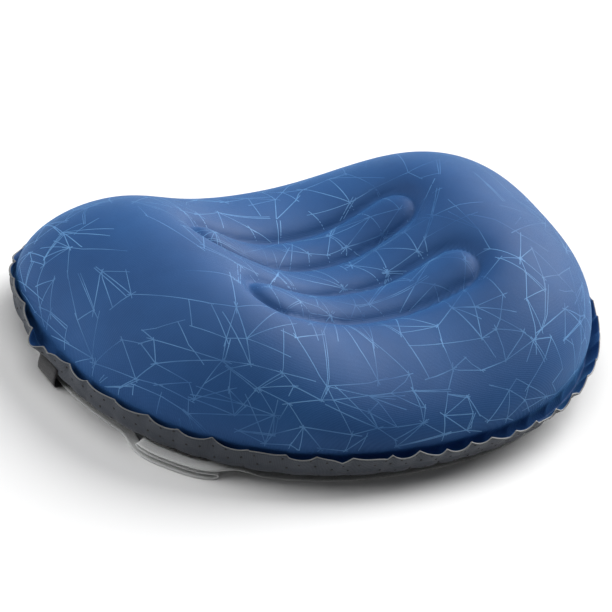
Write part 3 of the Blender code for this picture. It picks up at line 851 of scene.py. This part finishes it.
def build_strap(material):
    bm = bmesh.new()
    rows = []
    for turn, height, push in strap_trail():
        c, s = on_outline(math.cos(turn), math.sin(turn))
        rise = smooth_step(at_loops(turn) * LOOP_RISE)
        centre = -STRAP_INSET - STRAP_WIDTH / 2 + STRAP_LOOP_SHIFT * rise + STRAP_PROUD * (1 - rise)
        slack = math.exp(-((turn - BIGHT_SIDE) / BIGHT_SPREAD) ** 4)
        centre += (BIGHT_REACH + push) * slack
        lift = rise * (LOOP_THICKNESS + LOOP_GAP)
        row = []
        for cell in range(STRAP_CELLS + 1):
            across = (cell / STRAP_CELLS - 0.5) * STRAP_WIDTH
            row.append(bm.verts.new(near_outline(c, s, centre + across, height + lift)))
        rows.append(row)
    add_faces(bm, rows)
    bmesh.ops.recalc_face_normals(bm, faces=bm.faces)
    strap = add_mesh("woven_strap", bm, material)
    thicken(strap, STRAP_THICKNESS * DRAWN_THICKNESS, 0)
    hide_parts("elastic_strap")


LOOP_OFF = 0.0006               # from the fabric to the webbing
LOOP_CORNER = 0.0022
LOOP_STEPS = 5
LOOP_TUCK = 0.0015              # how far the webbing goes up into the margin
LOOP_BOWS = (0.0004, 0.0008, 0.0009, 0.0003)
LOOP_CELLS = 10


def loop_profile(c, s):
    """(out, up) points of a loop, down from the margin and inwards along the floor."""
    skin_out, hem = border_profile(c, s, 1.0)
    half = LOOP_THICKNESS / 2
    leg = skin_out + LOOP_OFF + half
    heights = (hem + LOOP_TUCK, hem * 0.75, hem * 0.45, half + LOOP_CORNER)
    line = [(leg + bow, height) for bow, height in zip(LOOP_BOWS, heights)]
    middle_out = leg - LOOP_CORNER
    middle_up = half + LOOP_CORNER
    for step in range(1, LOOP_STEPS + 1):
        turn = math.radians(90 * step / LOOP_STEPS)
        line.append((middle_out + LOOP_CORNER * math.cos(turn), middle_up - LOOP_CORNER * math.sin(turn)))
    for step in range(1, LOOP_STEPS + 1):
        line.append((mix(middle_out, leg - LOOP_INNER - LOOP_CORNER, step / LOOP_STEPS), half))
    return line


def build_loop(name, node, side, material):
    """A webbing loop round the strap, sewn into the margin."""
    c, s = on_outline(math.cos(side), math.sin(side))
    line = loop_profile(c, s)
    centre = near_outline(c, s, 0.0, 0.0)
    ahead = near_outline(*on_outline(math.cos(side + 0.01), math.sin(side + 0.01)), 0.0, 0.0)
    along = (ahead - centre).normalized()
    out_way = Vector((along.y, -along.x, 0))
    bm = bmesh.new()
    rows = []
    for out, z in line:
        row = []
        for cell in range(LOOP_CELLS + 1):
            across = (cell / LOOP_CELLS - 0.5) * LOOP_WIDTH
            row.append(bm.verts.new(centre + along * across + out_way * out + Vector((0, 0, z))))
        rows.append(row)
    add_faces(bm, rows)
    bmesh.ops.recalc_face_normals(bm, faces=bm.faces)
    loop = add_mesh(name, bm, material)
    thicken(loop, LOOP_THICKNESS * DRAWN_THICKNESS, 0)
    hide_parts(node)


# Painted shade: a black strip tapering from each loop along the border stands for the dark gap under the
# margin
TAIL_REACH = math.radians(16)
TAIL_STEPS = 40
TAIL_WIDTH = 0.005
TAIL_POINT = 0.0006
TAIL_TAPER = 0.7
TAIL_LOW = 0.72                 # share of the border's profile where its lower edge lies
TAIL_SHARE = 9                  # of that profile, for each metre of width
TAIL_OFF = (0.0009, -0.0004)
TAIL_THICKNESS = 0.0007


def build_shade_strip(name, side, way, material):
    """A black strip along the underside's border beside a loop, cut to a point: painted shade for the dark
    gap under the margin there.
    """
    bm = bmesh.new()
    rows = []
    for step in range(TAIL_STEPS + 1):
        share = step / TAIL_STEPS
        turn = side + way * TAIL_REACH * share
        c, s = on_outline(math.cos(turn), math.sin(turn))
        width = TAIL_WIDTH * (1 - share) ** TAIL_TAPER + TAIL_POINT
        row = []
        for place in (TAIL_LOW, TAIL_LOW + width * TAIL_SHARE):
            out, z = border_profile(c, s, place)
            row.append(bm.verts.new(near_outline(c, s, out + TAIL_OFF[0], z + TAIL_OFF[1])))
        rows.append(row)
    add_faces(bm, rows)
    bmesh.ops.recalc_face_normals(bm, faces=bm.faces)
    tail = add_mesh(name, bm, material)
    thicken(tail, TAIL_THICKNESS, 0)


# ---------------------------------------------------------------- tie rings

TIE_STRAIGHT = 0.625            # share of a ring's turn spent on its long sides
TIE_RIM = 0.0045
TIE_STEPS = 160
TIE_FLOOR = 0.0015
TIE_LOOK = 0.01
TIE_DROP = 0.0028               # from the top skin down to the band
TIE_THICKNESS = 0.0003
TIE_SECTION = ((-TIE_RIM, False), (0.0, False), (0.0, True), (-TIE_RIM, True))   # out, at the top


def ring_point(ring, turn, out):
    """Plan position on a banana ring, moved outwards from its wall."""
    middle, half_width, half_length = ring
    run = abs(math.cos(turn))
    x = math.copysign((half_length - half_width) * min(1.0, run / TIE_STRAIGHT), math.cos(turn))
    bow = math.radians(90) * max(run - TIE_STRAIGHT, 0.0) / (1 - TIE_STRAIGHT)
    radius = half_width + out
    x += math.copysign(radius * math.sin(bow), math.cos(turn))
    across = math.copysign(radius * math.cos(bow), math.sin(turn))
    return bent(x, middle + across + (RING_BEND - BEND) * x * x)


def build_tie_ring(name, node, ring, top_tree, material):
    """A band of film between the two skins, with a rim welded to each."""
    bm = bmesh.new()
    rows = []
    for step in range(TIE_STEPS):
        turn = 2 * math.pi * (step + 0.5) / TIE_STEPS
        row = []
        for out, top in TIE_SECTION:
            spot = placed(*ring_point(ring, turn, out), 0.0)
            z = TIE_FLOOR
            if top:
                hit = top_tree.ray_cast(Vector((spot.x, spot.y, TIE_LOOK)), Vector((0, 0, 1)))[0]
                z = hit.z - TIE_DROP
            row.append(bm.verts.new((spot.x, spot.y, z)))
        rows.append(row)
    add_faces(bm, rows, round_rows=True)
    bmesh.ops.recalc_face_normals(bm, faces=bm.faces)
    band = add_mesh(name, bm, material)
    thicken(band, TIE_THICKNESS, 0)
    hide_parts(node)


# ---------------------------------------------------------------- materials

class Paint:
    """A material's node tree, with short calls for the nodes it uses."""

    def __init__(self, name):
        self.material = bpy.data.materials.new(name)
        self.material.use_nodes = True
        self.tree = self.material.node_tree
        self.shader = self.tree.nodes["Principled BSDF"]
        self.place = self.node("ShaderNodeTexCoord").outputs["Object"]

    def node(self, kind, **settings):
        made = self.tree.nodes.new(kind)
        for name, value in settings.items():
            setattr(made, name, value)
        return made

    def join(self, output, socket):
        self.tree.links.new(output, socket)

    def feed(self, output, name):
        """Join an output to one of the shader's own sockets."""
        self.join(output, self.shader.inputs[name])

    def put(self, **values):
        """Set values of the shader's own sockets."""
        for name, value in values.items():
            self.shader.inputs[name.replace("_", " ")].default_value = value

    def noise(self, scale, detail=3.0, roughness=0.5):
        made = self.node("ShaderNodeTexNoise")
        made.inputs["Scale"].default_value = scale
        made.inputs["Detail"].default_value = detail
        made.inputs["Roughness"].default_value = roughness
        self.join(self.place, made.inputs["Vector"])
        return made.outputs["Fac"]

    def wave(self, scale, direction, turn=0.0):
        """Parallel bands, turned about the upright axis."""
        turned = self.node("ShaderNodeMapping")
        turned.inputs["Rotation"].default_value = (0.0, 0.0, turn)
        self.join(self.place, turned.inputs["Vector"])
        made = self.node("ShaderNodeTexWave", bands_direction=direction)
        made.inputs["Scale"].default_value = scale
        made.inputs["Distortion"].default_value = 0.0
        self.join(turned.outputs["Vector"], made.inputs["Vector"])
        return made.outputs["Fac"]

    def ramp(self, value, low, high, colours):
        made = self.node("ShaderNodeValToRGB")
        made.color_ramp.elements[0].position = low
        made.color_ramp.elements[1].position = high
        made.color_ramp.elements[0].color = (*colours[0], 1)
        made.color_ramp.elements[1].color = (*colours[1], 1)
        self.join(value, made.inputs["Fac"])
        return made.outputs["Color"]

    def span(self, value, low, high):
        made = self.node("ShaderNodeMapRange")
        made.inputs["To Min"].default_value = low
        made.inputs["To Max"].default_value = high
        self.join(value, made.inputs["Value"])
        return made.outputs["Result"]

    def blend(self, share, output, colour):
        """Blend from what a node puts out towards one colour."""
        made = self.node("ShaderNodeMix", data_type="RGBA")
        self.join(share, made.inputs["Factor"])
        self.join(output, made.inputs["A"])
        made.inputs["B"].default_value = (*colour, 1)
        return made.outputs["Result"]

    def maths(self, operation, output, value):
        """Work on one output with a number or with another output."""
        made = self.node("ShaderNodeMath", operation=operation)
        self.join(output, made.inputs[0])
        if isinstance(value, float):
            made.inputs[1].default_value = value
        else:
            self.join(value, made.inputs[1])
        return made.outputs["Value"]

    def bump(self, height, strength, distance):
        made = self.node("ShaderNodeBump")
        made.inputs["Strength"].default_value = strength
        made.inputs["Distance"].default_value = distance
        self.join(height, made.inputs["Height"])
        return made.outputs["Normal"]


def knit_bump(paint, scale, strength):
    """Fine knit: two crossing sets of ribs with a little unevenness."""
    ribs = paint.maths("MULTIPLY", paint.wave(scale, "X"), paint.wave(scale * 0.8, "Y"))
    both = paint.maths("ADD", ribs, paint.maths("MULTIPLY", paint.noise(scale * 1.4, 2.0), 0.6))
    return both, paint.bump(both, strength, 0.0003)


BLUE_FABRIC = ((0.015, 0.058, 0.178), (0.022, 0.082, 0.232))
BLUE_RIB = (0.030, 0.106, 0.285)
PALE_LINES = ((0.028, 0.098, 0.262), (0.12, 0.28, 0.54))
GREY_FABRIC = ((0.034, 0.040, 0.052), (0.054, 0.062, 0.078))
GREY_RIB = (0.075, 0.083, 0.098)
CUT_EDGE = (0.16, 0.165, 0.165)
GRIP_RUBBER = (0.006, 0.006, 0.008)
GREY_ELASTIC = ((0.42, 0.43, 0.43), (0.86, 0.87, 0.87))
BLACK_WEBBING_AND_SHADE = ((0.004, 0.004, 0.005), (0.035, 0.036, 0.04))
CLEAR_FILM = (0.55, 0.58, 0.60)
VALVE_PLASTIC = (0.030, 0.033, 0.040)
VALVE_SILICONE = (0.45, 0.47, 0.49)
BLUE_SHEEN = {"Specular_IOR_Level": 0.14, "Sheen_Weight": 0.34, "Sheen_Roughness": 0.3,
              "Sheen_Tint": (0.16, 0.52, 1.0, 1.0)}


def paint_top():
    paint = Paint("blue_stretch_knit")
    cloudy = paint.ramp(paint.noise(14.0, 4.0, 0.6), 0.3, 0.7, BLUE_FABRIC)
    knit, normal = knit_bump(paint, 420.0, 0.35)
    paint.feed(paint.blend(paint.span(knit, 0.0, 0.30), cloudy, BLUE_RIB), "Base Color")
    paint.feed(paint.span(paint.noise(60.0), 0.50, 0.64), "Roughness")
    paint.feed(normal, "Normal")
    paint.put(**BLUE_SHEEN)
    return paint.material


def paint_lines():
    paint = Paint("printed_pale_lines")
    paint.feed(paint.ramp(paint.noise(17.0, 3.0, 0.6), 0.36, 0.60, PALE_LINES), "Base Color")
    paint.feed(paint.span(paint.noise(300.0), 0.45, 0.6), "Roughness")
    paint.put(**BLUE_SHEEN)
    return paint.material


def paint_bottom():
    paint = Paint("grey_grip_fabric")
    cloudy = paint.ramp(paint.noise(25.0, 4.0, 0.6), 0.3, 0.7, GREY_FABRIC)
    knit, normal = knit_bump(paint, 520.0, 0.4)
    paint.feed(paint.blend(paint.span(knit, 0.0, 0.5), cloudy, GREY_RIB), "Base Color")
    paint.feed(paint.span(paint.noise(80.0), 0.6, 0.75), "Roughness")
    paint.feed(normal, "Normal")
    paint.put(Specular_IOR_Level=0.25, Sheen_Weight=0.1, Sheen_Roughness=0.5)
    return paint.material


def paint_rubber(name, colour, roughness):
    paint = Paint(name)
    lighter = tuple(min(part * 1.6 + 0.01, 1.0) for part in colour)
    paint.feed(paint.ramp(paint.noise(400.0, 2.0), 0.35, 0.75, (colour, lighter)), "Base Color")
    paint.feed(paint.span(paint.noise(150.0), roughness - 0.06, roughness + 0.08), "Roughness")
    paint.feed(paint.bump(paint.noise(900.0, 2.0), 0.15, 0.0002), "Normal")
    return paint.material


def paint_film(name, colour):
    paint = Paint(name)
    lighter = tuple(min(part * 1.25, 1.0) for part in colour)
    paint.feed(paint.ramp(paint.noise(120.0, 3.0), 0.3, 0.7, (colour, lighter)), "Base Color")
    paint.feed(paint.span(paint.noise(200.0), 0.38, 0.55), "Roughness")
    paint.feed(paint.bump(paint.noise(600.0, 2.0), 0.1, 0.0002), "Normal")
    return paint.material


def paint_webbing(name, colours, scale):
    """Woven tape: two sets of threads that cross."""
    paint = Paint(name)
    ribs = paint.wave(scale, "DIAGONAL")
    threads = paint.wave(scale * 0.9, "DIAGONAL", math.radians(90))
    weave = paint.maths("MULTIPLY", ribs, threads)
    fuzz = paint.maths("ADD", weave, paint.maths("MULTIPLY", paint.noise(scale * 2.0, 2.0), 0.5))
    paint.feed(paint.ramp(fuzz, 0.1, 0.9, colours), "Base Color")
    paint.feed(paint.span(paint.noise(scale), 0.65, 0.85), "Roughness")
    paint.feed(paint.bump(fuzz, 0.6, 0.0003), "Normal")
    paint.put(Sheen_Weight=0.3, Sheen_Roughness=0.5)
    return paint.material


# ---------------------------------------------------------------- camera and stage

CAMERA_TURN = math.radians(-38.4)
CAMERA_RISE = math.radians(34.4)
CAMERA_ROLL = math.radians(14.4)
CAMERA_AWAY = 2.9
CAMERA_LENS = 248.3
CAMERA_FAR = 50
PIVOT_HEIGHT = 0.050
AIM_LEFT = 0.0221               # how far the aim lies left of and below the pivot in the picture
AIM_BELOW = 0.0085
FLOOR_HALF = 6
FLOOR_HEIGHT = -DOT_HEIGHT - 0.0001
FLOOR_COLOUR = (0.86, 0.86, 0.86, 1.0)
WORLD_COLOUR = (1.0, 1.0, 1.0, 1.0)
WORLD_STRENGTH = 0.10
SUNS = (                        # name, where it comes from, strength, width in degrees
    ("key", (0.80, 0.30, 0.50), 4.7, 45),
    ("left_rear", (-0.80, 0.50, 0.30), 1.6, 50),
    ("above", (-0.10, 0.25, 0.95), 1.25, 60),
)


def build_camera():
    """Long lens, turned and rolled about a pivot over the middle of the pillow."""
    sin_a, cos_a = math.sin(CAMERA_TURN), math.cos(CAMERA_TURN)
    sin_e, cos_e = math.sin(CAMERA_RISE), math.cos(CAMERA_RISE)
    right = Vector((cos_a, sin_a, 0))
    up = Vector((-sin_a * sin_e, cos_a * sin_e, cos_e))
    back = Vector((sin_a * cos_e, -cos_a * cos_e, sin_e))
    picture_right = right * math.cos(CAMERA_ROLL) + up * math.sin(CAMERA_ROLL)
    picture_up = up * math.cos(CAMERA_ROLL) - right * math.sin(CAMERA_ROLL)
    pivot = placed(0.0, 0.0, PIVOT_HEIGHT)
    spot = pivot + back * CAMERA_AWAY
    aim = pivot - picture_right * AIM_LEFT - picture_up * AIM_BELOW
    back = (spot - aim).normalized()
    picture_right = picture_up.cross(back).normalized()
    picture_up = back.cross(picture_right).normalized()
    turn = Matrix((picture_right, picture_up, back)).transposed().to_4x4()
    data = bpy.data.cameras.new("camera")
    data.lens = CAMERA_LENS
    data.clip_end = CAMERA_FAR
    camera = bpy.data.objects.new("camera", data)
    camera.matrix_world = Matrix.Translation(spot) @ turn
    bpy.context.scene.collection.objects.link(camera)
    bpy.context.scene.camera = camera


def add_sun(name, direction, strength, angle):
    """Wide soft light from far away, so that the floor is evenly lit."""
    data = bpy.data.lights.new(name, "SUN")
    data.energy = strength
    data.angle = math.radians(angle)
    light = bpy.data.objects.new(name, data)
    light.matrix_world = Vector(direction).to_track_quat("Z", "Y").to_matrix().to_4x4()
    bpy.context.scene.collection.objects.link(light)


def build_stage():
    bm = bmesh.new()
    bmesh.ops.create_grid(bm, x_segments=1, y_segments=1, size=FLOOR_HALF)
    mesh = bpy.data.meshes.new("floor")
    bm.to_mesh(mesh)
    bm.free()
    floor = bpy.data.objects.new("floor", mesh)
    floor.location.z = FLOOR_HEIGHT
    bpy.context.scene.collection.objects.link(floor)
    paint = Paint("pale_floor")
    paint.put(Base_Color=FLOOR_COLOUR, Roughness=0.9, Specular_IOR_Level=0.1)
    mesh.materials.append(paint.material)
    world = bpy.data.worlds.new("studio")
    world.use_nodes = True
    background = world.node_tree.nodes["Background"]
    background.inputs["Color"].default_value = WORLD_COLOUR
    background.inputs["Strength"].default_value = WORLD_STRENGTH
    bpy.context.scene.world = world
    for sun in SUNS:
        add_sun(*sun)
    bpy.context.scene.view_settings.view_transform = "Standard"


# ---------------------------------------------------------------- assembly

def paint_node(node, material):
    """Show a CAD node as it is, in a material."""
    obj = frame["nodes"][node]
    obj.data.materials.clear()
    obj.data.materials.append(material)


def build():
    build_camera()
    build_stage()
    top = build_top_skin(paint_top())
    bottom = build_bottom_skin(paint_bottom())
    build_edge(paint_film("cut_edge", CUT_EDGE))
    build_dots(paint_rubber("grip_rubber", GRIP_RUBBER, 0.6), bottom)
    build_lines(paint_lines(), top)
    build_strap(paint_webbing("grey_elastic", GREY_ELASTIC, 700.0))
    # This black material serves the loops' real webbing and the strips of painted shade beside them
    webbing = paint_webbing("black_webbing_and_shade", BLACK_WEBBING_AND_SHADE, 500.0)
    build_loop("left_webbing", "left_loop", LOOP_SIDE, webbing)
    build_loop("right_webbing", "right_loop", OTHER_LOOP_SIDE, webbing)
    # Black strips of painted shade beside both loops, in the webbing's material
    build_shade_strip("left_painted_shade_strip", LOOP_SIDE, 1, webbing)
    build_shade_strip("right_painted_shade_strip", OTHER_LOOP_SIDE, -1, webbing)
    film = paint_film("clear_film", CLEAR_FILM)
    top_tree = evaluated_tree(top)
    for name, ring in zip(("rear_tie", "front_tie"), RINGS):
        build_tie_ring(name + "_band", name + "_ring", ring, top_tree, film)
    plastic = paint_rubber("valve_plastic", VALVE_PLASTIC, 0.42)
    silicone = paint_rubber("valve_silicone", VALVE_SILICONE, 0.4)
    paint_node("valve_base", film)
    for node in ("deflate_plug", "tether_ring", "plug_tether", "flap_cage", "inflate_cap", "cap_tether"):
        paint_node(node, plastic)
    for node in ("plug_seal", "check_flap"):
        paint_node(node, silicone)


build()
